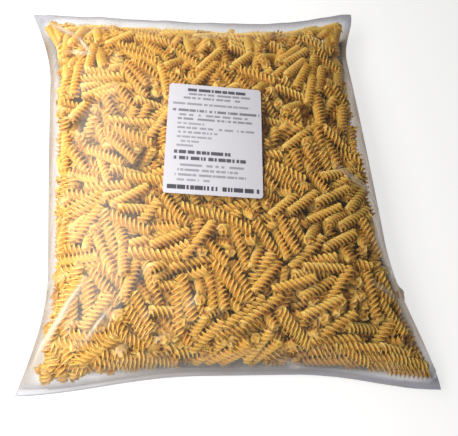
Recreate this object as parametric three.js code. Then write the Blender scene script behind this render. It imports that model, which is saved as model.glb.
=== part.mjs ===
// A clear 2 kg bag of pasta twists, lying flat, with a paper label stuck on its top face.
// Millimetres, +Z up. The bag's length runs along Y, and the origin is on the ground
// under the middle of its box.

import * as THREE from 'three';

// Bag outline, seen from above. The film tube was 335 wide and 387 long before it was filled.
const corners = {
  nearLeft: [-162.2, -176.3],
  nearRight: [169.3, -195],
  farLeft: [-169.3, 195],
  farRight: [159.6, 189.4],
};
// Each edge bows in from the straight line between its corners. The bow has one depth
// near its start and one near its end, grows over a share of the edge, and is fuller
// or sharper at the corners.
const edges = {
  left: { startBow: 25, endBow: 19, startReach: 0.26, endReach: 0.24, sharpness: 1 },
  right: { startBow: 24, endBow: 16.5, startReach: 0.33, endReach: 0.17, sharpness: 1.6 },
  near: { startBow: 13.3, endBow: 13.3, startReach: 0.42, endReach: 0.35, sharpness: 1.8 },
  far: { startBow: 12.5, endBow: 12.5, startReach: 0.72, endReach: 0.28, sharpness: 1.6 },
};

// Heights and thicknesses
const crownHeight = 63;          // top of the filling at the middle of the bag
const crownLean = 0.055;         // the filling stands higher on the left than on the right
const nearRimHeight = 6;         // middle of the near seal above the ground
const farRimHeight = 20;
const sideRimRise = 9;           // how much higher the side folds run than the seals
const sideRimPower = 0.8;
const finThickness = 1.2;        // two layers of film pressed together
const sideFinWidth = 4;          // flattened fold along each side
const sideShoulder = { power: 4.4, fullness: 0.47 };
// The filling has slid towards the near end, so the far end is flatter. A flat welded
// fin runs along each end.
const nearEnd = { finWidth: 5, shoulder: { power: 4.2, fullness: 0.48 } };
const farEnd = { finWidth: 11, shoulder: { power: 3, fullness: 0.8 } };
const sideLift = 34;             // width of the underside that curls up to the side folds
const endLift = 46;

// Twists pressed against the film from inside
const twist = { length: 38, width: 12.5, height: 4.2, lowestShare: 0.4, count: 380 };
const twistSeed = 2024;
// Slow unevenness of the whole filling: two waves that cross, each slanted by its skew
const wave = { height: 1.4, length: 95, skews: [0.4, -0.6] };

// Paper label
const labelWidth = 80;
const labelLength = 109;
const labelThickness = 0.4;
const labelCorner = 3;
const labelGap = 0.3;            // clear of the film
const labelCentre = [0.5, 12];
const labelTurn = THREE.MathUtils.degToRad(-5);
const labelMargin = 12;          // the film goes flat this far out from the paper

// Mesh fineness
const bagColumns = 56;
const bagRows = 64;
const undersideCoarseness = 2;   // top cells to one underside cell
const rimCrowding = 0.2;         // 0 spaces the cells evenly, 1 crowds them at the rim
const placeCorrections = 12;     // steps that find a place in the bag's patch
const labelColumns = 8;
const labelRows = 10;

const flatWidth = corners.nearRight[0] - corners.nearLeft[0];
const flatLength = corners.farLeft[1] - corners.nearLeft[1];
const { lerp, clamp, smoothstep } = THREE.MathUtils;

function mixPoints(a, b, share) {
  return [lerp(a[0], b[0], share), lerp(a[1], b[1], share)];
}

// A point on one edge of the outline. The bow is to the left of the way from start to end.
function edgePoint(start, end, edge, share, side) {
  const grow = (distance, reach) => {
    const quarterTurn = clamp(distance / reach, 0, 1) * Math.PI / 2;
    return Math.sin(quarterTurn) ** edge.sharpness;
  };
  const depth = lerp(edge.startBow, edge.endBow, share);
  const bow = side * depth * grow(share, edge.startReach) * grow(1 - share, edge.endReach);
  const along = [end[0] - start[0], end[1] - start[1]];
  const size = Math.hypot(...along);
  const point = mixPoints(start, end, share);
  return [point[0] - bow * along[1] / size, point[1] + bow * along[0] / size];
}

// Seen from above, a patch stretched between the four edges. u and v run from 0 to 1.
function planPoint(u, v) {
  const { nearLeft, nearRight, farLeft, farRight } = corners;
  const left = edgePoint(nearLeft, farLeft, edges.left, v, -1);
  const right = edgePoint(nearRight, farRight, edges.right, v, 1);
  const near = edgePoint(nearLeft, nearRight, edges.near, u, 1);
  const far = edgePoint(farLeft, farRight, edges.far, u, -1);
  const across = mixPoints(left, right, u);
  const along = mixPoints(near, far, v);
  const flat = mixPoints(mixPoints(nearLeft, nearRight, u), mixPoints(farLeft, farRight, u), v);
  return [across[0] + along[0] - flat[0], across[1] + along[1] - flat[1]];
}

function rimHeight(v) {
  return lerp(nearRimHeight, farRimHeight, v) + sideRimRise * Math.sin(Math.PI * v) ** sideRimPower;
}

// 0 on the fin, 1 at the middle line of the bag
function shoulder(share, fin, shape) {
  const inward = clamp((Math.min(share, 1 - share) - fin) / (0.5 - fin), 0, 1);
  return (1 - (1 - inward) ** shape.power) ** shape.fullness;
}

function crown(u, v) {
  const end = v < 0.5 ? nearEnd : farEnd;
  const fill = shoulder(u, sideFinWidth / flatWidth, sideShoulder)
    * shoulder(v, end.finWidth / flatLength, end.shoulder);
  const leaning = crownHeight + crownLean * flatWidth * (0.5 - u);
  return { fill, height: lerp(rimHeight(v), leaning, fill) };
}

// 1 at the rim, falling to 0 where the underside meets the ground
function lift(share, reach) {
  return clamp(1 - Math.min(share, 1 - share) / reach, 0, 1) ** 2;
}

function undersideHeight(u, v) {
  const rest = (1 - lift(u, sideLift / flatWidth)) * (1 - lift(v, endLift / flatLength));
  return (rimHeight(v) - finThickness) * (1 - rest);
}

// Repeatable draws from 0 to 1
function makeRandom(seed) {
  let state = seed;
  return () => {
    state = (state * 1664525 + 1013904223) % 4294967296;
    return state / 4294967296;
  };
}

function makeTwists() {
  const random = makeRandom(twistSeed);
  const twists = [];
  for (let i = 0; i < twist.count; i += 1) {
    const place = planPoint(random(), random());
    const turn = random() * Math.PI;
    const height = twist.height * lerp(twist.lowestShare, 1, random());
    twists.push({ place, turn, height });
  }
  return twists;
}

const twists = makeTwists();

// Height of the highest twist under a point: a rounded bar with round ends
function twistRelief(x, y) {
  let highest = 0;
  for (const { place, turn, height } of twists) {
    const dx = x - place[0];
    const dy = y - place[1];
    const along = Math.abs(dx * Math.cos(turn) + dy * Math.sin(turn));
    const across = Math.abs(dy * Math.cos(turn) - dx * Math.sin(turn));
    const past = Math.max(0, along - (twist.length - twist.width) / 2);
    const distance = Math.hypot(past, across) / (twist.width / 2);
    highest = Math.max(highest, height * (1 - distance ** 2));
  }
  return highest;
}

function slowWave(x, y) {
  const turn = 2 * Math.PI / wave.length;
  const across = Math.sin(turn * (x + wave.skews[0] * y));
  const along = Math.sin(turn * (y + wave.skews[1] * x));
  return wave.height * (across + along) / 2;
}

// A point of the bag's plane in the label's own directions
function labelPlace(x, y) {
  const dx = x - labelCentre[0];
  const dy = y - labelCentre[1];
  return [
    dx * Math.cos(labelTurn) + dy * Math.sin(labelTurn),
    dy * Math.cos(labelTurn) - dx * Math.sin(labelTurn),
  ];
}

// 0 under the label, 1 clear of it
function clearOfLabel(x, y) {
  const [across, along] = labelPlace(x, y);
  const outside = Math.max(Math.abs(across) - labelWidth / 2, Math.abs(along) - labelLength / 2);
  return smoothstep(outside, 0, labelMargin);
}

// Where a point seen from above lies in the patch, by a few corrections
function planShare(x, y) {
  let u = 0.5;
  let v = 0.5;
  for (let step = 0; step < placeCorrections; step += 1) {
    const [px, py] = planPoint(u, v);
    u = clamp(u + (x - px) / flatWidth, 0, 1);
    v = clamp(v + (y - py) / flatLength, 0, 1);
  }
  return [u, v];
}

// A closed solid between a top grid and an underside grid that may be coarser.
// topPoint and lowPoint give [x, y, z] for shares from 0 to 1 in each direction.
function skinSolid(columns, rows, coarseness, topPoint, lowPoint) {
  const positions = [];
  const triangles = [];
  const addGrid = (wide, long, pointAt) => {
    const first = positions.length / 3;
    for (let row = 0; row <= long; row += 1) {
      for (let column = 0; column <= wide; column += 1) {
        positions.push(...pointAt(column / wide, row / long));
      }
    }
    return (column, row) => first + row * (wide + 1) + column;
  };
  const addFaces = (wide, long, at, facesUp) => {
    for (let row = 0; row < long; row += 1) {
      for (let column = 0; column < wide; column += 1) {
        const a = at(column, row);
        const b = at(column + 1, row);
        const c = at(column + 1, row + 1);
        const d = at(column, row + 1);
        triangles.push(...(facesUp ? [a, b, c, a, c, d] : [a, c, b, a, d, c]));
      }
    }
  };
  // The rim's vertices, once round, anticlockwise from above
  const rimOf = (wide, long, at) => {
    const rim = [];
    for (let column = 0; column < wide; column += 1) rim.push(at(column, 0));
    for (let row = 0; row < long; row += 1) rim.push(at(wide, row));
    for (let column = wide; column > 0; column -= 1) rim.push(at(column, long));
    for (let row = long; row > 0; row -= 1) rim.push(at(0, row));
    return rim;
  };

  const lowColumns = columns / coarseness;
  const lowRows = rows / coarseness;
  const topAt = addGrid(columns, rows, topPoint);
  const lowAt = addGrid(lowColumns, lowRows, lowPoint);
  addFaces(columns, rows, topAt, true);
  addFaces(lowColumns, lowRows, lowAt, false);

  const topRim = rimOf(columns, rows, topAt);
  const lowRim = rimOf(lowColumns, lowRows, lowAt);
  lowRim.forEach((low, index) => {
    const nextLow = lowRim[(index + 1) % lowRim.length];
    const top = (step) => topRim[(index * coarseness + step) % topRim.length];
    triangles.push(low, nextLow, top(1));
    triangles.push(low, top(1), top(0));
    for (let step = 1; step < coarseness; step += 1) {
      triangles.push(nextLow, top(step + 1), top(step));
    }
  });

  const geometry = new THREE.BufferGeometry();
  geometry.setAttribute('position', new THREE.Float32BufferAttribute(positions, 3));
  geometry.setIndex(triangles);
  geometry.computeVertexNormals();
  return geometry;
}

function crowd(share) {
  return share - rimCrowding * Math.sin(2 * Math.PI * share) / (2 * Math.PI);
}

function makeBag() {
  const topPoint = (column, row) => {
    const [u, v] = [crowd(column), crowd(row)];
    const [x, y] = planPoint(u, v);
    const { fill, height } = crown(u, v);
    const relief = (twistRelief(x, y) - twist.height / 2 + slowWave(x, y)) * clearOfLabel(x, y);
    return [x, y, height + relief * fill];
  };
  const lowPoint = (column, row) => {
    const [u, v] = [crowd(column), crowd(row)];
    return [...planPoint(u, v), undersideHeight(u, v)];
  };
  const film = new THREE.MeshStandardMaterial({ color: 0xd3a552, roughness: 0.3, metalness: 0 });
  const bag = new THREE.Mesh(
    skinSolid(bagColumns, bagRows, undersideCoarseness, topPoint, lowPoint),
    film,
  );
  bag.name = 'bag';
  return bag;
}

function makeLabel() {
  // The outermost cells are as wide as the rounded corners
  const spread = (share, cells, size) => {
    const cell = share * cells;
    if (cell < 0.5) return -size / 2;
    if (cell > cells - 0.5) return size / 2;
    const inner = (cell - 1) / (cells - 2);
    return lerp(labelCorner - size / 2, size / 2 - labelCorner, inner);
  };
  const layer = (above) => (column, row) => {
    let across = spread(column, labelColumns, labelWidth);
    let along = spread(row, labelRows, labelLength);
    if (Math.abs(across) === labelWidth / 2 && Math.abs(along) === labelLength / 2) {
      const cut = labelCorner * (1 - Math.SQRT1_2);
      across -= Math.sign(across) * cut;
      along -= Math.sign(along) * cut;
    }
    const x = labelCentre[0] + across * Math.cos(labelTurn) - along * Math.sin(labelTurn);
    const y = labelCentre[1] + along * Math.cos(labelTurn) + across * Math.sin(labelTurn);
    return [x, y, crown(...planShare(x, y)).height + above];
  };
  const paper = new THREE.MeshStandardMaterial({ color: 0xe9e8f0, roughness: 0.7, metalness: 0 });
  const label = new THREE.Mesh(
    skinSolid(labelColumns, labelRows, 1, layer(labelGap + labelThickness), layer(labelGap)),
    paper,
  );
  label.name = 'label';
  return label;
}

const packet = new THREE.Group();
packet.name = 'pasta_bag';
packet.add(makeBag());
packet.add(makeLabel());

export default packet;
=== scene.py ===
# A clear 2 kg bag of pasta twists, lying flat with its paper label up. Lengths are in metres.

import math

import bpy
import numpy as np
from mathutils import Matrix, Vector, kdtree
from mathutils.bvhtree import BVHTree


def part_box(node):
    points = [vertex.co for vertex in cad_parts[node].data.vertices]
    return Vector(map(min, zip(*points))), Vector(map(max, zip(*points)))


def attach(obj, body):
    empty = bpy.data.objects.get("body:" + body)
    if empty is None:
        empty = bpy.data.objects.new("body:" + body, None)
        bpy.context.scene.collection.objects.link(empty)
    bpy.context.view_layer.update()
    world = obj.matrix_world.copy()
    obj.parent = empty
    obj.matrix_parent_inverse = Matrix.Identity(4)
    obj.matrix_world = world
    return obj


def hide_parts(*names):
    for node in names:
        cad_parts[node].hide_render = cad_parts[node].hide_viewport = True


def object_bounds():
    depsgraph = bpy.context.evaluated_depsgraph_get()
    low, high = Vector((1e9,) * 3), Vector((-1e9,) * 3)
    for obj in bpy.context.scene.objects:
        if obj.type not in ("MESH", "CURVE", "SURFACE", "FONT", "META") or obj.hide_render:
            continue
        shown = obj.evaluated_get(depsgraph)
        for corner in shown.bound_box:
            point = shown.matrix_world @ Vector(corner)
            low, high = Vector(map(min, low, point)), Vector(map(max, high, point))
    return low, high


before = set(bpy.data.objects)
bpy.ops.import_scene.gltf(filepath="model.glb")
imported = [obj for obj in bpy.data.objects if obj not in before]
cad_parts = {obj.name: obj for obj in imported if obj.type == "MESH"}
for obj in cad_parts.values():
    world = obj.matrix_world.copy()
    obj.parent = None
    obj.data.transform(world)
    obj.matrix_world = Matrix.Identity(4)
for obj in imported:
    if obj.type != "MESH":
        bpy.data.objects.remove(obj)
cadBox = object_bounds()
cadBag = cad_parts["bag"]
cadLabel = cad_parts["label"]
mm = 0.001
down = Vector((0, 0, -1))
up = Vector((0, 0, 1))


# Working in Blender

def deselectAll():
    bpy.ops.object.select_all(action="DESELECT")


def pick(piece):
    deselectAll()
    piece.select_set(True)
    bpy.context.view_layer.objects.active = piece
    return piece


def applyModifier(piece, kind, **settings):
    pick(piece)
    modifier = piece.modifiers.new(kind.lower(), kind)
    for name, value in settings.items():
        setattr(modifier, name, value)
    bpy.ops.object.modifier_apply(modifier=modifier.name)


def selectPoints(piece, keep):
    # Selects these points and no others, and ends in edit mode
    bpy.ops.object.mode_set(mode="OBJECT")
    mesh = piece.data
    chosen = np.zeros(len(mesh.vertices), bool)
    chosen[keep] = True
    mesh.vertices.foreach_set("select", chosen)
    mesh.edges.foreach_set("select", np.zeros(len(mesh.edges), bool))
    mesh.polygons.foreach_set("select", np.zeros(len(mesh.polygons), bool))
    bpy.ops.object.mode_set(mode="EDIT")


def readPoints(piece):
    points = np.empty(len(piece.data.vertices) * 3)
    piece.data.vertices.foreach_get("co", points)
    return points.reshape(-1, 3)


def writePoints(piece, points):
    piece.data.vertices.foreach_set("co", points.ravel())
    piece.data.update()


def readNormals(piece):
    normals = np.empty(len(piece.data.vertices) * 3)
    piece.data.vertex_normals.foreach_get("vector", normals)
    return normals.reshape(-1, 3)


def copyNode(node, name):
    # A CAD node's mesh is loose triangles, so the copy's doubles are merged
    piece = bpy.data.objects.new(name, node.data.copy())
    bpy.context.collection.objects.link(piece)
    piece.data.materials.clear()
    pick(piece)
    bpy.ops.object.mode_set(mode="EDIT")
    bpy.ops.mesh.select_all(action="SELECT")
    bpy.ops.mesh.remove_doubles(threshold=0.001 * mm)
    bpy.ops.object.mode_set(mode="OBJECT")
    return piece


def neighbourMean(piece):
    # Gives a function that averages a value over each point's neighbours
    mesh = piece.data
    edges = np.empty(len(mesh.edges) * 2, int)
    mesh.edges.foreach_get("vertices", edges)
    a, b = edges.reshape(-1, 2).T
    count = len(mesh.vertices)
    shared = np.maximum(np.bincount(a, minlength=count) + np.bincount(b, minlength=count), 1)

    def mean(value):
        return (np.bincount(a, value[b], count) + np.bincount(b, value[a], count)) / shared

    return mean


def heightOn(tree, x, y, fromAbove=True):
    start = Vector((x, y, 1 if fromAbove else -1))
    hit = tree.ray_cast(start, down if fromAbove else up)[0]
    return hit.z if hit else None


# Shader maths

class Wire:
    # A socket in an expression: each operator adds its Math node
    def __init__(self, tree, socket=None):
        self.tree = tree
        self.socket = socket

    def node(self, kind, settings, inputs, output=0):
        made = self.tree.nodes.new(kind)
        for name, value in settings.items():
            setattr(made, name, value)
        for key, value in inputs.items():
            if isinstance(value, Wire):
                self.tree.links.new(value.socket, made.inputs[key])
            else:
                made.inputs[key].default_value = value
        return Wire(self.tree, made.outputs[output])

    def maths(self, operation, *values, clamp=False):
        settings = {"operation": operation, "use_clamp": clamp}
        return self.node("ShaderNodeMath", settings, dict(enumerate(values)))

    def __add__(self, other):
        return self.maths("ADD", self, other)

    def __sub__(self, other):
        return self.maths("SUBTRACT", self, other)

    def __rsub__(self, other):
        return self.maths("SUBTRACT", other, self)

    def __mul__(self, other):
        return self.maths("MULTIPLY", self, other)

    def __gt__(self, other):
        return self.maths("GREATER_THAN", self, other)

    def __lt__(self, other):
        return self.maths("LESS_THAN", self, other)

    __radd__ = __add__

    def attribute(self, name):
        return self.node("ShaderNodeAttribute", {"attribute_name": name}, {}, 2)

    def mixColour(self, share, first, second):
        settings = {"data_type": "RGBA", "clamp_factor": True}
        return self.node("ShaderNodeMix", settings, {0: share, 6: first, 7: second}, 2)

    def noise(self, scale, detail, place=None):
        inputs = {"Scale": scale, "Detail": detail}
        if place is None:
            place = self.node("ShaderNodeTexCoord", {}, {}, 3)
        inputs["Vector"] = place
        return self.node("ShaderNodeTexNoise", {}, inputs)

    def bump(self, height, strength, distance):
        return self.node("ShaderNodeBump", {}, {
            "Height": height, "Strength": strength, "Distance": distance,
        })


def newMaterial(name):
    material = bpy.data.materials.new(name)
    material.use_nodes = True
    tree = material.node_tree
    shader = tree.nodes["Principled BSDF"]
    return material, Wire(tree), shader


def setShader(wire, shader, values):
    for name, value in values.items():
        if isinstance(value, Wire):
            wire.tree.links.new(value.socket, shader.inputs[name])
        else:
            shader.inputs[name].default_value = value


# Filling: one twist is modelled, and its copies are packed into the bag

twist = {
    "length": 38.5 * mm,
    "radius": 4.75 * mm,
    "turnLength": 12.6 * mm,     # along the twist for one full turn of its three blades
    "grooveRadius": 0.43,        # bottom of the groove, as a share of the radius
    "swirl": math.radians(9),    # how far the blades lean over
    "pinch": math.radians(7),    # how far the two corners of a blade's tip are drawn together
    "endSize": 0.9,
    "endHollow": 1.2 * mm,       # depth of the swirl's middle at each end, and its size
    "hollowSize": 0.3,
    "smoothAngle": math.radians(65),
    "finePoints": 12,            # points round the section, and rings along the twist
    "fineRings": 32,
    "plainPoints": 9,
    "plainRings": 19,
}

packing = {
    "count": 1640,
    "seed": 5,
    "steps": 380,
    "wallSteps": 12,
    "contactRadius": 3.95 * mm,  # less than the twist's own, because the blades mesh
    "wallGap": 4.95 * mm,        # from the line of a twist to the bag's skin
    "weldGap": 2.3 * mm,         # the same at a weld, and how far in from it the gap is less
    "weldReach": 24 * mm,
    "endGaps": (0.9 * mm, 2.2 * mm),   # the same at the near and the far corners
    "endReach": 30 * mm,
    "sideGap": 10 * mm,          # from the bag's outline, seen from above
    "cornerGap": 26 * mm,        # the near left corner is empty this far in
    "weldWindow": 5 * mm,        # the outline is looked for this far to both sides
    "sideWindow": 6 * mm,
    "weldRows": ((26, 8.5 * mm), (24, 16 * mm)),    # twists laid along each weld, and how far in
    "rowEnds": (30 * mm, 20 * mm),     # from the left and the right side to the ends of the rows
    "rowAxis": (1, 0.6, 0),      # they lie level, and more along the weld than across it
    "levelness": 0.65,           # 0 starts every other twist level, 1 at any slant
    "lengths": (0.84, 1.06),
    "widths": (0.95, 1.05),
    "bend": 0.7 * mm,            # how far the middle of a twist is off its straight line
    "gridStep": 3 * mm,
    "seedDepth": 0.6,            # twists start at least this share of the gap inside the skin
    "startSize": 0.35,           # the twists start this small, and grow to full size
    "growth": 0.55,              # over this share of the steps
    "refresh": 8,                # steps between searches for neighbours
    "searchMargins": (3 * mm, 6 * mm),
    "damping": 1.5,              # a twist that touches more others than this moves less
    "wallPush": 0.6,
    "floorGap": 1.4 * mm,
    "fineDepth": 17 * mm,        # twists this far under the top film get the fine model
}

feltAt = (-1, -0.5, 0, 0.5, 1)   # where along its half length a twist feels the film


def makeTwistModel(name, pointCount, ringCount):
    radius, length = twist["radius"], twist["length"]
    groove, hollow = twist["grooveRadius"], twist["hollowSize"]
    middle = (0, 0, -length / 2)
    nearEnd = length / 2 - 0.01 * mm
    deselectAll()
    bpy.ops.mesh.primitive_circle_add(vertices=pointCount, radius=radius, fill_type="NGON", location=middle)
    model = bpy.context.object
    model.name = name
    bpy.ops.object.transform_apply(location=True)
    perBlade = pointCount // 3
    tips = perBlade - 2
    order = np.arange(pointCount) % perBlade
    selectPoints(model, order >= tips)           # the grooves
    bpy.ops.transform.resize(value=(groove, groove, 1), center_override=middle)
    bpy.ops.transform.rotate(value=twist["swirl"], orient_axis="Z", center_override=middle)
    if tips == 2:
        for corner, way in ((0, -1), (1, 1)):
            selectPoints(model, order == corner)
            bpy.ops.transform.rotate(value=way * twist["pinch"], orient_axis="Z", center_override=middle)
    bpy.ops.mesh.select_all(action="SELECT")
    for ring in range(ringCount):
        bpy.ops.mesh.extrude_region_move(TRANSFORM_OT_translate={"value": (0, 0, length / ringCount)})
    for side in (-1, 1):
        bpy.ops.object.mode_set(mode="OBJECT")
        selectPoints(model, side * readPoints(model)[:, 2] > nearEnd)
        inwards = (0, 0, -side * twist["endHollow"])
        bpy.ops.mesh.extrude_region_move(TRANSFORM_OT_translate={"value": inwards})
        bpy.ops.transform.resize(value=(hollow, hollow, 1), center_override=(0, 0, side * length / 2))
    bpy.ops.object.mode_set(mode="OBJECT")
    points = readPoints(model)
    points[np.abs(points[:, 2]) > nearEnd, :2] *= twist["endSize"]
    writePoints(model, points)
    bpy.ops.object.mode_set(mode="EDIT")
    bpy.ops.mesh.select_all(action="SELECT")
    bpy.ops.mesh.normals_make_consistent(inside=False)
    bpy.ops.object.mode_set(mode="OBJECT")
    turns = 2 * math.pi * length / twist["turnLength"]
    applyModifier(model, "SIMPLE_DEFORM", deform_method="TWIST", deform_axis="Z", angle=turns)
    return model


def weldAt(corners, x, side):
    # Where the bag ends at x, on the near side (-1) or the far one (1)
    beside = np.abs(corners[:, 0] - x) < packing["weldWindow"]
    return side * np.max(side * corners[beside, 1], initial=-1)


def sideAt(corners, y, side):
    # Where the bag ends at y, on the left (-1) or the right (1)
    beside = np.abs(corners[:, 1] - y) < packing["sideWindow"]
    return side * np.max(side * corners[beside, 0], initial=-1)


def skinDistance(tree, xs, ys, zs):
    # From each point of a grid to the bag's skin, negative inside
    distance = np.empty((len(xs), len(ys), len(zs)))
    for i, x in enumerate(xs):
        for j, y in enumerate(ys):
            top, under = heightOn(tree, x, y), heightOn(tree, x, y, fromAbove=False)
            for k, z in enumerate(zs):
                near = tree.find_nearest(Vector((x, y, z)))[3]
                inside = top is not None and under is not None and under < z < top
                distance[i, j, k] = -near if inside else near
    return distance


def blockedSides(corners, xs, ys):
    # The same for the side folds and the empty corner, where there is no room either
    left, right = (np.array([sideAt(corners, y, side) for y in ys]) for side in (-1, 1))
    aside = np.maximum(xs[:, None] - right[None], left[None] - xs[:, None])
    corner = corners[np.argmin(corners[:, 0] + corners[:, 1])]
    reach = np.hypot(xs[:, None] - corner[0], ys[None] - corner[1])
    return np.maximum(aside + packing["sideGap"], packing["cornerGap"] - reach) - packing["wallGap"]


def wallGaps(corners, xs, ys):
    # How far the line of a twist keeps from the skin: less along the welds than elsewhere
    wallGap, weldGap = packing["wallGap"], packing["weldGap"]
    fromEnd = (corners[:, 1].max() - np.abs(ys)) / packing["endReach"]
    endGap = np.where(ys < 0, *packing["endGaps"])
    endGap = endGap + (wallGap - endGap) * np.clip(fromEnd, 0, 1)
    near, far = (np.array([weldAt(corners, x, side) for x in xs]) for side in (-1, 1))
    inwards = np.where(ys < 0, ys - near[:, None], far[:, None] - ys)
    weldGap = weldGap + (wallGap - weldGap) * np.clip(inwards / packing["weldReach"], 0, 1)
    return np.minimum(endGap[None], weldGap)


def pushField(low, step, distance, gap):
    # From each point of the grid where no twist fits, the way to the nearest place where one does
    slope = np.stack(np.gradient(distance, step), -1)
    slope /= np.linalg.norm(slope, axis=-1, keepdims=True) + 1e-9
    fits = distance <= -gap
    ringed = np.pad(fits, 1)
    inner = fits.copy()
    for axis in range(3):
        for shift in (-1, 1):
            inner &= np.roll(ringed, shift, axis)[1:-1, 1:-1, 1:-1]
    edge = fits & ~inner
    places = low + np.argwhere(edge) * step + slope[edge] * (-gap - distance)[edge][:, None]
    finder = kdtree.KDTree(len(places))
    for number, place in enumerate(places):
        finder.insert(place, number)
    finder.balance()
    push = np.zeros((*distance.shape, 3))
    for spot in np.argwhere(~fits):
        place = low + spot * step
        push[tuple(spot)] = np.array(finder.find(place)[0]) - place
    return push


def placeRows(tree, corners):
    # Along each weld, half way up
    rows = []
    left, right = packing["rowEnds"]
    for side, (rowCount, inset) in zip((-1, 1), packing["weldRows"]):
        for x in np.linspace(corners[:, 0].min() + left, corners[:, 0].max() - right, rowCount):
            y = weldAt(corners, x, side) - side * inset
            rows.append((x, y, (heightOn(tree, x, y) or 0) / 2))
    return np.array(rows)


def measureRoom():
    # What the twists have to know of the bag, on a grid round it
    room = copyNode(cadBag, "room")
    tree = BVHTree.FromObject(room, bpy.context.evaluated_depsgraph_get())
    step = packing["gridStep"]
    corners = readPoints(room)
    low = corners.min(0) - 2 * step
    counts = np.ceil((corners.max(0) + 2 * step - low) / step).astype(int) + 1
    xs, ys, zs = (low[k] + step * np.arange(counts[k]) for k in range(3))
    distance = skinDistance(tree, xs, ys, zs)
    distance = np.maximum(distance, blockedSides(corners, xs, ys)[:, :, None])
    gap = np.broadcast_to(wallGaps(corners, xs, ys)[:, :, None], distance.shape)
    push = pushField(low, step, distance, gap)
    seeds = low + np.argwhere(distance < -packing["seedDepth"] * gap) * step
    rows = placeRows(tree, corners)
    bpy.data.objects.remove(room)
    return {"low": low, "step": step, "push": push, "seeds": seeds, "rows": rows}


def pushAt(room, places):
    # The push field between its grid points
    spot = (places - room["low"]) / room["step"]
    spot = np.clip(spot, 0, np.array(room["push"].shape[:3]) - 1.001)
    cell = spot.astype(int)
    share = spot - cell
    total = np.zeros_like(places)
    for corner in np.ndindex(2, 2, 2):
        weight = np.prod(np.where(corner, share, 1 - share), axis=1)
        i, j, k = (cell + corner).T
        total += weight[:, None] * room["push"][i, j, k]
    return total


def nearestOnAxes(offset, axisA, axisB, halfA, halfB):
    # Closest points of two straight pieces, as distances along them, and the way from B to A
    lean = (axisA * axisB).sum(1)
    alongA = (axisA * offset).sum(1)
    alongB = (axisB * offset).sum(1)
    onA = np.clip((lean * alongB - alongA) / np.maximum(1 - lean ** 2, 1e-4), -halfA, halfA)
    onB = np.clip(alongB + lean * onA, -halfB, halfB)
    onA = np.clip(lean * onB - alongA, -halfA, halfA)
    gap = offset + onA[:, None] * axisA - onB[:, None] * axisB
    return onA, onB, gap, np.linalg.norm(gap, axis=1) + 1e-9


def startTwists(draw, room):
    # Anywhere in the bag, but the first ones lie in rows along the welds
    count, rows = packing["count"], room["rows"]
    centre = room["seeds"][draw.integers(len(room["seeds"]), size=count)]
    centre = centre + draw.uniform(-0.5, 0.5, (count, 3)) * room["step"]
    axis = draw.normal(size=(count, 3)) * (1, 1, packing["levelness"])
    centre[:len(rows)] = rows
    axis[:len(rows)] *= packing["rowAxis"]
    axis /= np.linalg.norm(axis, axis=1, keepdims=True)
    stretch = draw.uniform(*packing["lengths"], count)
    return centre, axis, stretch


def nearPairs(everyPair, centre, axis, half):
    # The pairs of twists that may come to touch before the next search
    first, second = everyPair
    centreMargin, axisMargin = packing["searchMargins"]
    reach = 2 * (half.max() + packing["contactRadius"]) + centreMargin
    near = ((centre[first] - centre[second]) ** 2).sum(1) < reach ** 2
    a, b = first[near], second[near]
    apart = nearestOnAxes(centre[a] - centre[b], axis[a], axis[b], half[a], half[b])[3]
    close = apart < 2 * packing["contactRadius"] + axisMargin
    return a[close], b[close]


def pushApart(pairs, centre, axis, half, inertia, reach):
    # How twists that are nearer than reach move and turn each other, and how many touch each one
    a, b = pairs
    count = len(centre)
    onA, onB, gap, apart = nearestOnAxes(centre[a] - centre[b], axis[a], axis[b], half[a], half[b])
    hit = apart < reach
    i, j, way = a[hit], b[hit], gap[hit] / apart[hit][:, None]
    armI = onA[hit][:, None] * np.cross(axis[i], way)
    armJ = onB[hit][:, None] * np.cross(axis[j], way)
    ease = 2 + (armI ** 2).sum(1) / inertia[i] + (armJ ** 2).sum(1) / inertia[j]
    force = (reach - apart[hit]) / ease
    move, turn = np.zeros((count, 3)), np.zeros((count, 3))
    for k in range(3):
        move[:, k] = np.bincount(i, force * way[:, k], count) - np.bincount(j, force * way[:, k], count)
        turn[:, k] = (np.bincount(i, force * armI[:, k] / inertia[i], count)
                      - np.bincount(j, force * armJ[:, k] / inertia[j], count))
    touches = np.bincount(i, minlength=count) + np.bincount(j, minlength=count)
    return move, turn, touches


def settleOnWalls(room, centre, axis, half, inertia):
    # At the end the walls have the last word
    for step in range(packing["wallSteps"]):
        arms = [(share * half)[:, None] * axis for share in feltAt]
        pushes = np.stack([pushAt(room, centre + arm) for arm in arms])
        turn = sum(np.cross(arm, push) for arm, push in zip(arms, pushes)) / inertia[:, None] / len(arms)
        strongest = np.argmax(np.abs(pushes).sum(2), axis=0)
        centre = centre + packing["wallPush"] * pushes[strongest, np.arange(len(centre))]
        axis = axis + np.cross(turn, axis)
        axis /= np.linalg.norm(axis, axis=1, keepdims=True)
    return centre, axis


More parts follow.
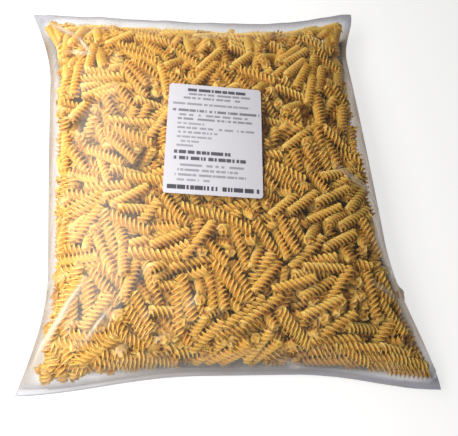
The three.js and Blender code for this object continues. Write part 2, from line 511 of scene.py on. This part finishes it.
def packTwists(room):
    # Twists start small, anywhere in the bag. They grow and push each other and the walls away
    draw = np.random.default_rng(packing["seed"])
    centre, axis, stretch = startTwists(draw, room)
    count, radius = packing["count"], packing["contactRadius"]
    half = (twist["length"] / 2 - radius) * stretch
    inertia = (2 * half) ** 2 / 12
    everyPair = np.triu_indices(count, 1)
    for step in range(packing["steps"]):
        grown = min(1, packing["startSize"] + (1 - packing["startSize"]) * step
                    / (packing["steps"] * packing["growth"]))
        if step % packing["refresh"] == 0:
            pairs = nearPairs(everyPair, centre, axis, half)
        move, turn, touches = pushApart(pairs, centre, axis, half, inertia, 2 * radius * grown)
        for share in feltAt:
            arm = (share * half)[:, None] * axis
            push = pushAt(room, centre + arm)
            ease = (1 + (arm ** 2).sum(1) / inertia)[:, None]
            move += push / ease
            turn += np.cross(arm, push) / inertia[:, None] / ease
            touches = touches + (np.abs(push).sum(1) > 0.001 * mm)
        damping = (packing["damping"] / np.maximum(touches, packing["damping"]))[:, None]
        centre = centre + move * damping
        axis = axis + np.cross(turn * damping, axis)
        axis /= np.linalg.norm(axis, axis=1, keepdims=True)
    centre, axis = settleOnWalls(room, centre, axis, half, inertia)
    widths = draw.uniform(*packing["widths"], count)
    bends = draw.uniform(-1, 1, count) * packing["bend"]
    rolls = draw.uniform(0, 2 * math.pi, count)[:, None]
    helper = np.where(np.abs(axis[:, 2:]) > 0.9, (1.0, 0, 0), (0, 0, 1.0))
    side = np.cross(helper, axis)
    side /= np.linalg.norm(side, axis=1, keepdims=True)
    third = np.cross(axis, side)
    across = side * np.cos(rolls) + third * np.sin(rolls)
    over = third * np.cos(rolls) - side * np.sin(rolls)
    lowest = centre[:, 2] - np.abs(axis[:, 2]) * half - twist["radius"] - packing["floorGap"]
    centre[:, 2] += np.maximum(-lowest, 0)
    return {"centre": centre, "axis": axis, "across": across, "over": over, "half": half,
            "stretch": stretch, "width": widths, "bend": bends, "tone": draw.uniform(0, 1, count)}


def takeTwists(twists, keep):
    return {name: value[keep] for name, value in twists.items()}


def joinTwists(name, model, twists):
    # One mesh of many copies of the model, each turned, stretched and bent a little
    mesh = model.data
    shape = readPoints(model)
    corners = np.empty(len(mesh.loops), int)
    mesh.loops.foreach_get("vertex_index", corners)
    starts = np.empty(len(mesh.polygons), int)
    mesh.polygons.foreach_get("loop_start", starts)
    count = len(twists["centre"])
    x = shape[None, :, 0] * twists["width"][:, None]
    y = shape[None, :, 1] * twists["width"][:, None]
    z = shape[None, :, 2] * twists["stretch"][:, None]
    bow = twists["bend"][:, None] * (1 - (2 * z / twist["length"]) ** 2)
    points = (twists["centre"][:, None] + (x + bow)[..., None] * twists["across"][:, None]
              + y[..., None] * twists["over"][:, None] + z[..., None] * twists["axis"][:, None])
    joined = bpy.data.meshes.new(name)
    joined.vertices.add(count * len(shape))
    joined.loops.add(count * len(corners))
    joined.polygons.add(count * len(starts))
    numbers = np.arange(count)[:, None]
    joined.vertices.foreach_set("co", points.ravel())
    joined.loops.foreach_set("vertex_index", (corners[None] + numbers * len(shape)).ravel())
    joined.polygons.foreach_set("loop_start", (starts[None] + numbers * len(corners)).ravel())
    joined.update(calc_edges=True)
    rib = np.hypot(shape[:, 0], shape[:, 1]) / twist["radius"]
    for label, value in (("rib", np.tile(rib, count)), ("tone", np.repeat(twists["tone"], len(shape)))):
        joined.attributes.new(label, "FLOAT", "POINT").data.foreach_set("value", value)
    piece = bpy.data.objects.new(name, joined)
    bpy.context.collection.objects.link(piece)
    pick(piece)
    bpy.ops.object.shade_smooth_by_angle(angle=twist["smoothAngle"])
    return piece


pasta = {
    "ridgeColour": (0.89, 0.54, 0.10, 1),
    # the groove colour is partly the thick core's own deeper amber, partly painted shade between the blades
    "grooveShadeColour": (0.60, 0.30, 0.04, 1),
    "paleColour": (0.93, 0.63, 0.16, 1),
    "deepColour": (0.83, 0.47, 0.075, 1),
    "roughness": 0.48,
    "translucency": 0.5,
    "lightReach": (1.0, 0.55, 0.2),    # how far red, green and blue light spread in it
    "lightDepth": 3 * mm,
    "fleckScale": 260.0,
    "fleckShare": 0.25,
    "grainScale": 1500.0,
}


def makePastaMaterial():
    material, wire, shader = newMaterial("pasta")
    rib, tone = wire.attribute("rib"), wire.attribute("tone")
    height = wire.maths("MULTIPLY_ADD", rib, 1.9, -0.85, clamp=True)    # 0 in the groove, 1 on the ridge
    ridge = wire.mixColour(tone, pasta["paleColour"], pasta["deepColour"])
    ridge = wire.mixColour(0.5, ridge, pasta["ridgeColour"])
    flecks = wire.noise(pasta["fleckScale"], 3.0)
    # Darker in the grooves: partly the core's own deeper amber, partly painted shade where the blades shade
    # each other
    colour = wire.mixColour(height, pasta["grooveShadeColour"], ridge)
    colour = wire.mixColour(flecks * pasta["fleckShare"], colour, pasta["paleColour"])
    setShader(wire, shader, {
        "Base Color": colour,
        "Roughness": pasta["roughness"],
        "Subsurface Weight": pasta["translucency"],
        "Subsurface Radius": pasta["lightReach"],
        "Subsurface Scale": pasta["lightDepth"],
        "Normal": wire.bump(wire.noise(pasta["grainScale"], 3.0), 0.25, 0.15 * mm),
    })
    return material


def shareOut(name, model, twists, most=200000):
    # Several joined pieces, each with fewer triangles than the most that one may have
    faces = sum(len(face.vertices) - 2 for face in model.data.polygons)
    parts = math.ceil(len(twists["centre"]) * faces / most)
    order = np.argsort(twists["centre"][:, 0])
    return [joinTwists(f"{name}_{number + 1}", model, takeTwists(twists, keep))
            for number, keep in enumerate(np.array_split(order, parts))]


print("Measuring the room in the bag")
room = measureRoom()
print("Packing the twists")
twists = packTwists(room)

labelPlate = BVHTree.FromObject(cadLabel, bpy.context.evaluated_depsgraph_get())
bagShell = BVHTree.FromObject(cadBag, bpy.context.evaluated_depsgraph_get())


# Film

film = {
    "twistGap": 0.25 * mm,       # clear of the twists it lies on
    "floorGap": 0.15 * mm,
    "cuts": 3,
    "rounds": 240,               # of evening out, until the film hangs over the twists
    "ruffle": 0.9 * mm,          # height of the waves along a weld
    "ruffleWaves": ((61, 0.5), (37, 0.3), (23, 0.2)),    # length of each in mm, and its share
    "ruffleFlat": 10 * mm,
    "ruffleReach": 12 * mm,
    "sealThickness": 2.4 * mm,   # thinner than this in the CAD bag is a welded fin
    "clearThickness": 10 * mm,   # near a weld the film gets clear where the bag is this thick
    "sideThickness": 29 * mm,    # and along a side fold where it is this thick
    "thinnest": 1 * mm,          # at this it is least clear
    "weldZone": (150 * mm, 175 * mm),  # from the bag's middle
    "rasterCell": 1.5 * mm,
    "beads": 11,                 # spheres that stand for a twist when the film is laid over it
    "endBead": 0.5,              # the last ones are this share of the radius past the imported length
    "labelGap": 0.12 * mm,
    "labelRoom": 0.5 * mm,       # the twists keep this far under the label
    "labelDepth": 20 * mm,       # deeper twists than this stay where they are
}

# Folds in the top film: start and end in mm from the bag's middle, height and half width in mm
creases = [
    ((-150, 178), (-118, 138), 2.6, 4.0),
    ((-118, 138), (-104, 112), 2.2, 3.6),
    ((-136, 176), (-112, 160), 1.8, 3.4),
    ((-128, 122), (-104, 112), 1.6, 4.0),
    ((-148, -160), (-104, -104), 3.0, 4.2),
    ((-106, -150), (-86, -128), 2.2, 4.0),
    ((102, -12), (148, -44), 2.6, 4.4),
    ((116, -114), (142, -131), 1.8, 3.6),
    ((-40, -168), (-70, -182), 1.6, 3.0),
    ((40, -166), (78, -178), 1.6, 3.0),
]


def coverTwists(twists):
    # The highest and the lowest twist over each cell of a level grid
    cell = film["rasterCell"]
    low = np.array(cadBox[0])[:2] - 5 * mm
    counts = np.ceil((np.array(cadBox[1])[:2] + 5 * mm - low) / cell).astype(int) + 1
    tops = np.full(counts, -1.0)
    lows = np.full(counts, 1.0)
    radius = twist["radius"]
    shares = np.linspace(-1, 1, film["beads"])
    reach = (twists["half"][:, None] + film["endBead"] * radius) * shares
    bow = twists["bend"][:, None] * (1 - shares ** 2)
    beads = (twists["centre"][:, None] + reach[..., None] * twists["axis"][:, None]
             + bow[..., None] * twists["across"][:, None]).reshape(-1, 3)
    wide = np.repeat(twists["width"] * radius, len(shares))
    spot = np.round((beads[:, :2] - low) / cell).astype(int)
    around = math.ceil(radius / cell) + 1
    for shift in np.ndindex(2 * around + 1, 2 * around + 1):
        here = spot + np.array(shift) - around
        flat = ((low + here * cell - beads[:, :2]) ** 2).sum(1)
        rise = wide ** 2 - flat
        over = (rise > 0) & (here >= 0).all(1) & (here < counts).all(1)
        where = tuple(here[over].T)
        lift = np.sqrt(rise[over])
        np.maximum.at(tops, where, beads[over, 2] + lift)
        np.minimum.at(lows, where, beads[over, 2] - lift)
    # Each cell takes in its neighbours, so that the film stays clear on steep sides
    for axis in range(2):
        tops = np.maximum(tops, np.maximum(np.roll(tops, 1, axis), np.roll(tops, -1, axis)))
        lows = np.minimum(lows, np.minimum(np.roll(lows, 1, axis), np.roll(lows, -1, axis)))
    return {"low": low, "cell": cell, "tops": tops, "lows": lows}


def coverAt(cover, layer, places):
    spot = np.round((places[:, :2] - cover["low"]) / cover["cell"]).astype(int)
    return cover[layer][tuple(spot.T)]


def underLabel(twists):
    # Twists under the label are moved down until they are clear of it
    reach = twists["half"][:, None] * np.array(feltAt)
    beads = twists["centre"][:, None] + reach[..., None] * twists["axis"][:, None]
    for number, row in enumerate(beads):
        for bead in row:
            label = heightOn(labelPlate, bead[0], bead[1], fromAbove=False)
            if label is None:
                continue
            excess = bead[2] + twist["radius"] * twists["width"][number] + film["labelRoom"] - label
            if 0 < excess < film["labelDepth"]:
                twists["centre"][number, 2] -= excess
                row[:, 2] -= excess


def creaseRelief(points):
    # A thin raised fold along each crease, highest in its middle
    relief = np.zeros(len(points))
    for start, end, height, width in creases:
        start, end = np.array(start) * mm, np.array(end) * mm
        way = end - start
        share = np.clip((points[:, :2] - start) @ way / (way @ way), 0, 1)
        apart = np.linalg.norm(points[:, :2] - start - share[:, None] * way, axis=1)
        fold = np.clip(1 - apart / (width * mm), 0, 1) ** 1.4
        relief = np.maximum(relief, height * mm * fold * np.sin(math.pi * (0.06 + 0.88 * share)))
    return relief


def ruffle(points):
    # Low waves that run along each weld and die away from it
    ends = np.abs(cadBox[0][1]) - np.abs(points[:, 1])
    fade = np.exp(-np.maximum(ends - film["ruffleFlat"], 0) / film["ruffleReach"])
    waves = np.zeros(len(points))
    for length, share in film["ruffleWaves"]:
        waves += share * np.sin(2 * math.pi * points[:, 0] / (length * mm) + length + np.sign(points[:, 1]))
    return film["ruffle"] * waves * fade


def makeFilm(twists):
    piece = copyNode(cadBag, "film")
    bpy.ops.object.mode_set(mode="EDIT")
    bpy.ops.mesh.select_all(action="SELECT")
    bpy.ops.mesh.subdivide(number_cuts=film["cuts"])
    bpy.ops.object.mode_set(mode="OBJECT")
    points, normals = readPoints(piece), readNormals(piece)
    cover = coverTwists(twists)
    mean = neighbourMean(piece)
    faceUp = normals[:, 2] > 0
    thickness = np.zeros(len(points))
    paper = np.full(len(points), np.nan)
    for number, (x, y, z) in enumerate(points):
        top, under = heightOn(bagShell, x, y), heightOn(bagShell, x, y, fromAbove=False)
        if top is not None and under is not None:
            thickness[number] = top - under
        label = heightOn(labelPlate, x, y, fromAbove=False) if faceUp[number] else None
        if label is not None:
            paper[number] = label - film["labelGap"]
    held = thickness < film["sealThickness"]
    floor = np.where(faceUp, coverAt(cover, "tops", points) + film["twistGap"], film["floorGap"])
    ceiling = np.where(faceUp, 1.0, coverAt(cover, "lows", points) - film["twistGap"])
    ceiling = np.maximum(ceiling, film["floorGap"])
    fixed = np.where(np.isnan(paper), points[:, 2], paper)
    held |= ~np.isnan(paper)
    height = fixed.copy()
    for step in range(film["rounds"]):
        height = np.clip(mean(height), floor, ceiling)
        height[held] = fixed[held]
    folds = np.where(faceUp & ~held, creaseRelief(points), 0)
    height += folds + ruffle(points)
    points[:, 2] = np.maximum(height, film["floorGap"])
    writePoints(piece, points)
    pick(piece)
    bpy.ops.object.shade_smooth()
    # Where the film is welded, or folded over at a side, it is less clear, with a brown tint at the side
    # folds that is painted shade; along its creases it is whiter, partly as painted highlight
    start, end = film["weldZone"]
    toEnd = np.clip((np.abs(points[:, 1]) - start) / (end - start), 0, 1)
    clearFrom = film["sideThickness"] + (film["clearThickness"] - film["sideThickness"]) * toEnd
    thin = np.clip(1 - (thickness - film["thinnest"]) / (clearFrom - film["thinnest"]), 0, 1)
    creased = np.clip(folds / (2 * mm), 0, 1)
    for name, value in (("seal", thin * toEnd), ("side", thin * (1 - toEnd)), ("crease", creased)):
        piece.data.attributes.new(name, "FLOAT", "POINT").data.foreach_set("value", value)
    return piece


filmLook = {
    "milk": (0.62, 0.56, 0.46, 1),
    "weldMilk": (0.55, 0.55, 0.60, 1),
    "milkRoughness": 0.35,
    "haze": 0.03,                # how much of the milky film covers the filling
    "sealHaze": 0.4,             # the same at a weld, at a side fold and along a crease
    "sideHaze": 0.10,
    # along a crease the film is whiter: partly its own whitening at a fold, partly painted highlight
    "creaseHighlightHaze": 0.6,
    "weldTint": (0.62, 0.63, 0.69, 1),
    # brown tint of the side folds: painted shade of the bag's shadowed sides
    "sideShadeTint": (0.47, 0.37, 0.28, 1),
    "shine": 0.06,               # share of light mirrored by the film seen square on
    "edgeShine": 0.5,            # and by film seen edge on
    "edgePower": 5.0,
    "roughness": 0.38,
}


def makeFilmMaterial():
    material, wire, shader = newMaterial("clear_film")
    seal, side, crease = wire.attribute("seal"), wire.attribute("side"), wire.attribute("crease")
    # The same from both faces, so that light also gets out of the bag and into it
    facing = wire.node("ShaderNodeLayerWeight", {}, {"Blend": 0.5}, 1)
    glossy = wire.node("ShaderNodeBsdfGlossy", {}, {"Roughness": filmLook["roughness"]})
    clear = wire.node("ShaderNodeBsdfTransparent", {}, {0: (1, 1, 1, 1)})
    weld = wire.node("ShaderNodeBsdfTransparent", {}, {0: filmLook["weldTint"]})
    # the side folds' brown see-through tint is painted shade
    fold = wire.node("ShaderNodeBsdfTransparent", {}, {0: filmLook["sideShadeTint"]})
    cloud = wire.mixColour(seal, filmLook["milk"], filmLook["weldMilk"])
    setShader(wire, shader, {"Base Color": cloud, "Roughness": filmLook["milkRoughness"]})
    milky = Wire(wire.tree, shader.outputs[0])
    # the crease term whitens the film along the folds as a painted highlight
    haze = filmLook["haze"] + seal * seal * filmLook["sealHaze"] + crease * filmLook["creaseHighlightHaze"]
    haze = haze + side * filmLook["sideHaze"]
    clear = wire.node("ShaderNodeMixShader", {}, {0: seal, 1: clear, 2: weld})
    clear = wire.node("ShaderNodeMixShader", {}, {0: side, 1: clear, 2: fold})
    body = wire.node("ShaderNodeMixShader", {}, {0: haze, 1: clear, 2: milky})
    edgeOn = wire.maths("POWER", facing, filmLook["edgePower"])
    shine = filmLook["shine"] + edgeOn * filmLook["edgeShine"]
    whole = wire.node("ShaderNodeMixShader", {}, {0: shine, 1: body, 2: glossy})
    output = wire.tree.nodes["Material Output"]
    wire.tree.links.new(whole.socket, output.inputs["Surface"])
    return material


# Label

label = {
    "width": 80 * mm,
    "length": 109 * mm,
    "turn": math.radians(-5),
    "columns": 40,
    "rows": 54,
    "thickness": 0.2 * mm,
    "corner": 3 * mm,
    "smoothAngle": math.radians(40),
    "paper": (0.585, 0.58, 0.655, 1),
    "ink": (0.06, 0.06, 0.08, 1),
    "roughness": 0.62,
    "fibreScale": 900.0,
    "wordScale": 34.0,           # more of this makes shorter words
    "wordGap": 0.40,             # and more of this wider gaps between them
    "rowShift": 3.7,             # makes each row's words fall differently
    "drawIn": 0.005,             # heights are read this share further in, where the CAD label surely is
}

# Rows of plain bars in place of print: height on the paper from its top edge, bar height,
# where the row starts and ends across the paper, and how dark it is. All are shares.
printRows = [
    (0.055, 0.030, 0.20, 0.83, 0.95),
    (0.098, 0.021, 0.17, 0.88, 0.60),
    (0.138, 0.021, 0.16, 0.77, 0.60),
    (0.198, 0.021, 0.05, 0.88, 0.55),
    (0.262, 0.024, 0.05, 0.98, 0.75),
    (0.305, 0.019, 0.11, 0.85, 0.60),
    (0.343, 0.020, 0.11, 0.91, 0.65),
    (0.387, 0.018, 0.11, 0.39, 0.50),
    (0.427, 0.019, 0.11, 0.95, 0.55),
    (0.468, 0.019, 0.11, 0.53, 0.55),
    (0.510, 0.018, 0.11, 0.47, 0.50),
    (0.550, 0.018, 0.11, 0.34, 0.50),
    (0.588, 0.018, 0.11, 0.33, 0.50),
    (0.645, 0.030, 0.09, 0.67, 0.95),
    (0.698, 0.030, 0.09, 0.85, 0.95),
    (0.758, 0.020, 0.11, 0.85, 0.55),
    (0.800, 0.020, 0.11, 0.77, 0.55),
    (0.842, 0.020, 0.11, 0.83, 0.55),
    (0.884, 0.019, 0.13, 0.48, 0.50),
    (0.945, 0.036, 0.04, 0.97, 1.00),
]


def makeLabel():
    low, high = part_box("label")
    centre = (Vector(low) + Vector(high)) / 2
    deselectAll()
    bpy.ops.mesh.primitive_grid_add(x_subdivisions=label["columns"], y_subdivisions=label["rows"], size=1)
    piece = bpy.context.object
    piece.name = "paper_label"
    points = readPoints(piece)
    points[:, 0] *= label["width"]
    points[:, 1] *= label["length"]
    # The last points at each corner are drawn in to make it round
    inner = np.array((label["width"], label["length"])) / 2 - label["corner"]
    past = np.maximum(np.abs(points[:, :2]) - inner, 0)
    reach = np.linalg.norm(past, axis=1)
    square = np.maximum(past[:, 0], past[:, 1])
    shrink = np.where(reach > 0, square / np.maximum(reach, 1e-9), 1)
    corner = (past > 0).all(1)
    pulled = np.sign(points[:, :2]) * (inner + past * shrink[:, None])
    points[corner, :2] = pulled[corner]
    cos, sin = math.cos(label["turn"]), math.sin(label["turn"])
    x, y = points[:, 0].copy(), points[:, 1].copy()
    points[:, 0] = centre.x + x * cos - y * sin
    points[:, 1] = centre.y + y * cos + x * sin
    drawIn = label["drawIn"]
    places = points[:, :2] * (1 - drawIn) + np.array(centre)[:2] * drawIn
    heights = [heightOn(labelPlate, px, py) for px, py in places]
    known = [height for height in heights if height is not None]
    fallback = sum(known) / len(known)
    points[:, 2] = [fallback if height is None else height for height in heights]
    writePoints(piece, points)
    applyModifier(piece, "SOLIDIFY", thickness=label["thickness"], offset=-1)
    pick(piece)
    bpy.ops.object.shade_smooth_by_angle(angle=label["smoothAngle"])
    return piece


def makePaperMaterial():
    material, wire, shader = newMaterial("label_paper")
    onPaper = wire.node("ShaderNodeUVMap", {}, {})
    across = wire.node("ShaderNodeSeparateXYZ", {}, {0: onPaper}, 0)
    along = wire.node("ShaderNodeSeparateXYZ", {}, {0: onPaper}, 1)
    ink = wire.maths("ADD", 0.0, 0.0)
    for number, (top, height, start, end, dark) in enumerate(printRows):
        line = wire.maths("COMPARE", along, 1 - top, height / 2)
        inside = (across > start) * (across < end)
        place = {0: across * label["wordScale"], 1: number * label["rowShift"]}
        words = wire.noise(1.0, 0.0, wire.node("ShaderNodeCombineXYZ", {}, place)) > label["wordGap"]
        ink = ink + line * inside * words * dark
    fibre = wire.noise(label["fibreScale"], 4.0)
    colour = wire.mixColour(ink, label["paper"], label["ink"])
    setShader(wire, shader, {
        "Base Color": colour,
        "Roughness": label["roughness"],
        "Normal": wire.bump(fibre, 0.15, 0.05 * mm),
    })
    return material


print("Laying the film")
underLabel(twists)
filmPiece = makeFilm(twists)
filmPiece.data.materials.append(makeFilmMaterial())

print("Joining the twists")
pastaMaterial = makePastaMaterial()
tops = np.array([heightOn(bagShell, x, y) or 0 for x, y in twists["centre"][:, :2]])
fine = tops - twists["centre"][:, 2] < packing["fineDepth"]
fineModel = makeTwistModel("fine_twist", twist["finePoints"], twist["fineRings"])
plainModel = makeTwistModel("plain_twist", twist["plainPoints"], twist["plainRings"])
twistPieces = shareOut("twists_on_top", fineModel, takeTwists(twists, fine))
twistPieces += shareOut("twists_below", plainModel, takeTwists(twists, ~fine))
faceCount = sum(len(face.vertices) - 2 for piece in twistPieces for face in piece.data.polygons)
print("Fine twists", fine.sum(), "plain twists", (~fine).sum(), "triangles", faceCount)
for model in (fineModel, plainModel):
    bpy.data.objects.remove(model)
for piece in twistPieces:
    piece.data.materials.append(pastaMaterial)
    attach(piece, "root")
    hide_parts("bag")

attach(filmPiece, "root")
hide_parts("bag")

print("Sticking on the label")
labelPiece = makeLabel()
labelPiece.data.materials.append(makePaperMaterial())
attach(labelPiece, "root")
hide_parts("label")


# Floor, light and camera

studio = {
    "floorSize": 6.0,
    "floorColour": (0.35, 0.35, 0.35, 1),
    "floorGlow": 2.1,
    "shadeWidth": 141 * mm,      # half the waist of the shade under the bag, half its length
    "shadeLength": 171 * mm,
    "shadeShift": 5 * mm,        # away from the window
    "shadeEdge": 6 * mm,         # and how soft its edge is
    "sideBow": 0.75,             # it gets wider towards its ends
    "endBow": 0.4,               # and longer towards its sides
    "bowLimits": (0.04, 0.03),   # of y and x squared, so that the bows end near the bag
    "widthTrim": 0.4,            # it is less wide at the far right and the near left corner
    "lengthTrim": 0.4,           # less long at the near left one
    "skew": 0.2,                 # and longer at the near right and the far left one
    "skyColour": (1.0, 0.93, 0.84, 1),
    "skyStrength": 0.08,
    "windowPlace": (-0.35, -0.02, 0.39),
    "windowAim": (-0.40, -0.02, 0.0),
    "windowSize": (1.0, 0.5),
    "windowPower": 8.6,
    "windowColour": (1.0, 0.98, 0.93),
}

view = {
    "place": (-32.3 * mm, -245.9 * mm, 457 * mm),
    "azimuth": math.radians(-12.0),
    "elevation": math.radians(64.5),
    "roll": math.radians(8.2),
    "lens": 44.02,
}


def makeFloor():
    deselectAll()
    bpy.ops.mesh.primitive_plane_add(size=studio["floorSize"], location=(0, 0, 0))
    floor = bpy.context.object
    floor.name = "floor"
    material, wire, shader = newMaterial("pale_floor")
    # The floor glows a little and evenly, but a painted shadow leaves the glow out where the bag lies on it
    place = wire.node("ShaderNodeTexCoord", {}, {}, 3)
    x = wire.node("ShaderNodeSeparateXYZ", {}, {0: place}, 0)
    y = wire.node("ShaderNodeSeparateXYZ", {}, {0: place}, 1)
    sideBow = wire.maths("MINIMUM", y * y, studio["bowLimits"][0]) * studio["sideBow"]
    endBow = wire.maths("MINIMUM", x * x, studio["bowLimits"][1]) * studio["endBow"]
    sameSigns = wire.maths("MAXIMUM", x * y, 0.0)
    nearLeft = wire.maths("MAXIMUM", 0.0 - x, 0.0) * wire.maths("MAXIMUM", 0.0 - y, 0.0)
    aside = wire.maths("ABSOLUTE", x - studio["shadeShift"]) - studio["shadeWidth"] - sideBow
    aside = aside + sameSigns * studio["widthTrim"]
    along = wire.maths("ABSOLUTE", y) - studio["shadeLength"] - endBow
    along = along + x * y * studio["skew"] + nearLeft * studio["lengthTrim"]
    past = wire.maths("MAXIMUM", aside, along)
    glow = wire.maths("MULTIPLY_ADD", past, 1 / studio["shadeEdge"], 1.0, clamp=True)
    setShader(wire, shader, {
        "Base Color": studio["floorColour"],
        "Roughness": 0.8,
        "Emission Color": wire.mixColour(glow, (0, 0, 0, 1), studio["floorColour"]),
        "Emission Strength": studio["floorGlow"],
    })
    floor.data.materials.append(material)


def makeWindow():
    data = bpy.data.lights.new("window", "AREA")
    data.shape = "RECTANGLE"
    data.size, data.size_y = studio["windowSize"]
    data.energy = studio["windowPower"]
    data.color = studio["windowColour"]
    lamp = bpy.data.objects.new("window", data)
    bpy.context.collection.objects.link(lamp)
    lamp.location = studio["windowPlace"]
    way = Vector(studio["windowAim"]) - Vector(studio["windowPlace"])
    lamp.rotation_euler = way.to_track_quat("-Z", "Y").to_euler()


def makeSky():
    world = bpy.data.worlds.new("studio")
    world.use_nodes = True
    sky = world.node_tree.nodes["Background"]
    sky.inputs["Color"].default_value = studio["skyColour"]
    sky.inputs["Strength"].default_value = studio["skyStrength"]
    bpy.context.scene.world = world
    bpy.context.scene.view_settings.view_transform = "Standard"


def makeCamera():
    a, e, r = view["azimuth"], view["elevation"], view["roll"]
    back = Vector((math.sin(a) * math.cos(e), -math.cos(a) * math.cos(e), math.sin(e)))
    right = Vector((math.cos(a), math.sin(a), 0))
    top = back.cross(right)
    turned = (right * math.cos(r) + top * math.sin(r), top * math.cos(r) - right * math.sin(r), back)
    data = bpy.data.cameras.new("camera")
    data.lens = view["lens"]
    data.clip_start = 0.01
    camera = bpy.data.objects.new("camera", data)
    bpy.context.collection.objects.link(camera)
    camera.matrix_world = Matrix.Translation(view["place"]) @ Matrix(turned).transposed().to_4x4()
    bpy.context.scene.camera = camera


print("Setting up the floor, the light and the camera")
makeFloor()
makeWindow()
makeSky()
makeCamera()
